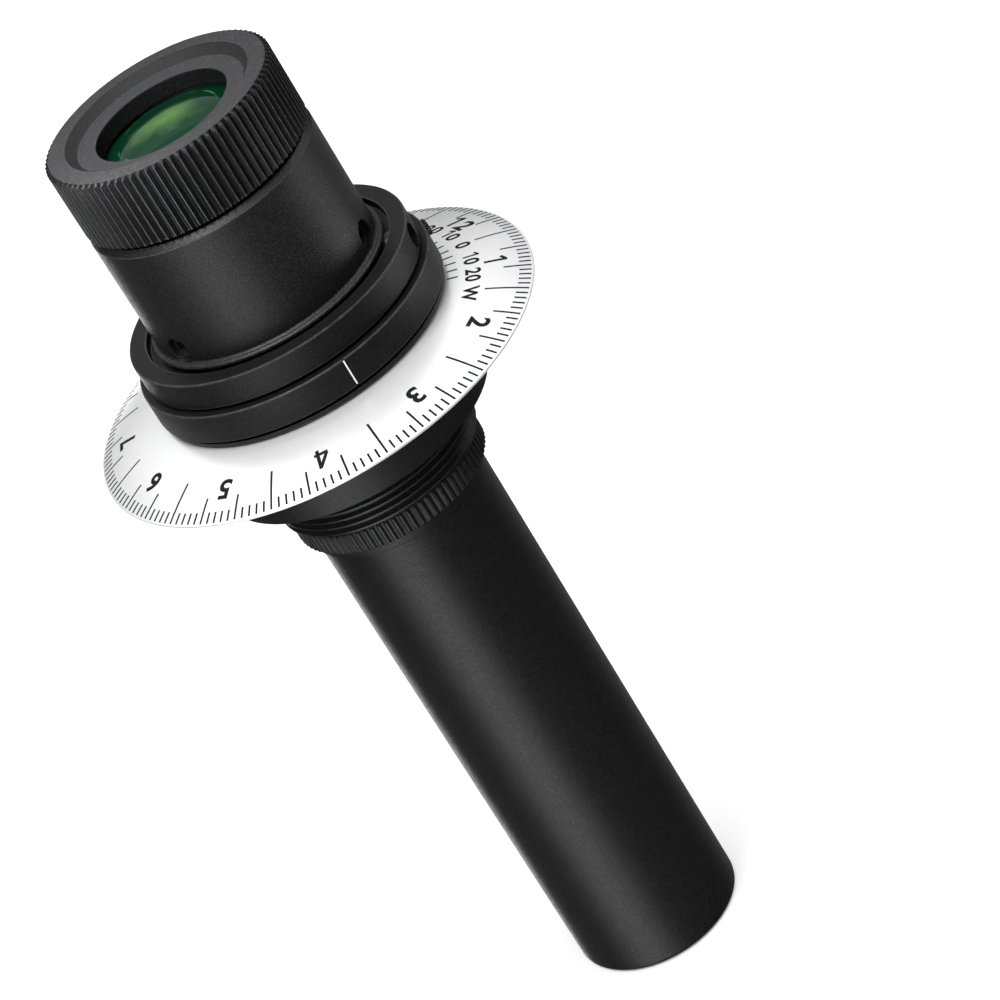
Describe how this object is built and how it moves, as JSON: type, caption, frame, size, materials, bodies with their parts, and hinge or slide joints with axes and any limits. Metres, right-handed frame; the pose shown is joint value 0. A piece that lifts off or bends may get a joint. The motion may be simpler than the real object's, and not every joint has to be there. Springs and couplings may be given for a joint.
{
  "type": "polar-axis finder scope",
  "caption": "Small black polar-alignment scope with a knurled focusing eyepiece, silver month dial, index ring, mounting thread and long objective tube.",
  "frame": {"origin": "centre of the hub's seat, where the mounting thread starts", "axes": "+Z along the optical axis towards the eyepiece; -Y towards the side with the index line"},
  "size_m": [0.06, 0.06, 0.1379],
  "materials": {
    "black_anodised": "matte black anodised, fine blasted grain",
    "black_inner": "flat black anodised, non-reflecting",
    "dial_silver": "satin brushed, clear anodised, printed black scales",
    "white_fill": "white enamel fill in an engraved line",
    "black_steel": "black oxide",
    "brass_cell": "turned, dull",
    "washer_fibre": "smooth fibre washer",
    "seal_rubber": "greased nitrile",
    "coated_glass": "green anti-reflection coating",
    "clear_glass": "polished"
  },
  "bodies": {
    "body": {"hub": "black_anodised", "reticle_housing": "black_anodised", "retaining_collar": "black_anodised", "dial_clamp_ring": "black_inner", "dial_friction_washer": "washer_fibre", "reticle_cell": "brass_cell", "reticle_glass": "clear_glass", "reticle_clamp_ring": "black_inner", "reticle_keeper_ring": "black_inner"},
    "date_dial": {"date_dial": "dial_silver"},
    "index_ring": {"index_ring": "black_anodised", "index_line": "white_fill"},
    "index_lock_screw": {"index_lock_screw": "black_steel"},
    "collar_set_screw": {"collar_set_screw": "black_steel"},
    "reticle_screw_1": {"reticle_screw_1": "black_steel"},
    "reticle_screw_2": {"reticle_screw_2": "black_steel"},
    "reticle_screw_3": {"reticle_screw_3": "black_steel"},
    "eyepiece_carrier": {"eyepiece_friction_ring": "seal_rubber"},
    "eyepiece": {"eyepiece_ring": "black_anodised", "eye_lens": "coated_glass", "eyepiece_spacer": "black_inner", "field_lens": "clear_glass", "eyepiece_retaining_ring": "black_inner"},
    "tube_carrier": {"tube_seal_ring": "seal_rubber"},
    "objective_tube": {"objective_tube": "black_anodised", "objective_crown_lens": "coated_glass", "objective_spacer": "black_inner", "objective_flint_lens": "clear_glass", "objective_retaining_ring": "black_inner", "lower_baffle": "black_inner", "upper_baffle": "black_inner"},
    "tube_lock_ring": {"tube_lock_ring": "black_anodised"}
  },
  "joints": [
    {"name": "eyepiece_slide", "type": "slide", "parent": "body", "child": "eyepiece_carrier", "axis": [0, 0, 1], "range_m": [-0.0004, 0.003]},
    {"name": "eyepiece_turn", "type": "hinge", "parent": "eyepiece_carrier", "child": "eyepiece", "pos_m": [0, 0, 0], "axis": [0, 0, 1], "range_deg": [-144, 1080]},
    {"name": "date_dial_turn", "type": "hinge", "parent": "body", "child": "date_dial", "pos_m": [0, 0, 0], "axis": [0, 0, 1], "continuous": true},
    {"name": "index_ring_turn", "type": "hinge", "parent": "body", "child": "index_ring", "pos_m": [0, 0, 0], "axis": [0, 0, 1], "continuous": true},
    {"name": "index_lock_screw_turn", "type": "hinge", "parent": "index_ring", "child": "index_lock_screw", "pos_m": [0.01981, 0.00278, 0.0165], "axis": [0.9903, 0.1392, 0], "range_deg": [0, 360]},
    {"name": "collar_set_screw_turn", "type": "hinge", "parent": "body", "child": "collar_set_screw", "pos_m": [0.01717, -0.00541, 0.02075], "axis": [0.9537, -0.3007, 0], "range_deg": [0, 360]},
    {"name": "reticle_screw_1_turn", "type": "hinge", "parent": "body", "child": "reticle_screw_1", "pos_m": [0.01236, -0.00657, 0.02475], "axis": [0.8829, -0.4695, 0], "range_deg": [-180, 180]},
    {"name": "reticle_screw_2_turn", "type": "hinge", "parent": "body", "child": "reticle_screw_2", "pos_m": [-0.00049, 0.01399, 0.02475], "axis": [-0.0349, 0.9994, 0], "range_deg": [-180, 180]},
    {"name": "reticle_screw_3_turn", "type": "hinge", "parent": "body", "child": "reticle_screw_3", "pos_m": [-0.01187, -0.00742, 0.02475], "axis": [-0.848, -0.5299, 0], "range_deg": [-180, 180]},
    {"name": "tube_lock_ring_turn", "type": "hinge", "parent": "body", "child": "tube_lock_ring", "pos_m": [0, 0, 0], "axis": [0, 0, 1], "range_deg": [-90, 0]},
    {"name": "tube_slide", "type": "slide", "parent": "body", "child": "tube_carrier", "axis": [0, 0, 1], "range_m": [-0.0006, 0.0006]},
    {"name": "tube_turn", "type": "hinge", "parent": "tube_carrier", "child": "objective_tube", "pos_m": [0, 0, 0], "axis": [0, 0, 1], "range_deg": [-288, 288]}
  ],
  "couplings": [
    {"joint": "eyepiece_slide", "follows": "eyepiece_turn", "m_per_rad": 0.00015915},
    {"joint": "tube_slide", "follows": "tube_turn", "m_per_rad": 0.00011937}
  ]
}
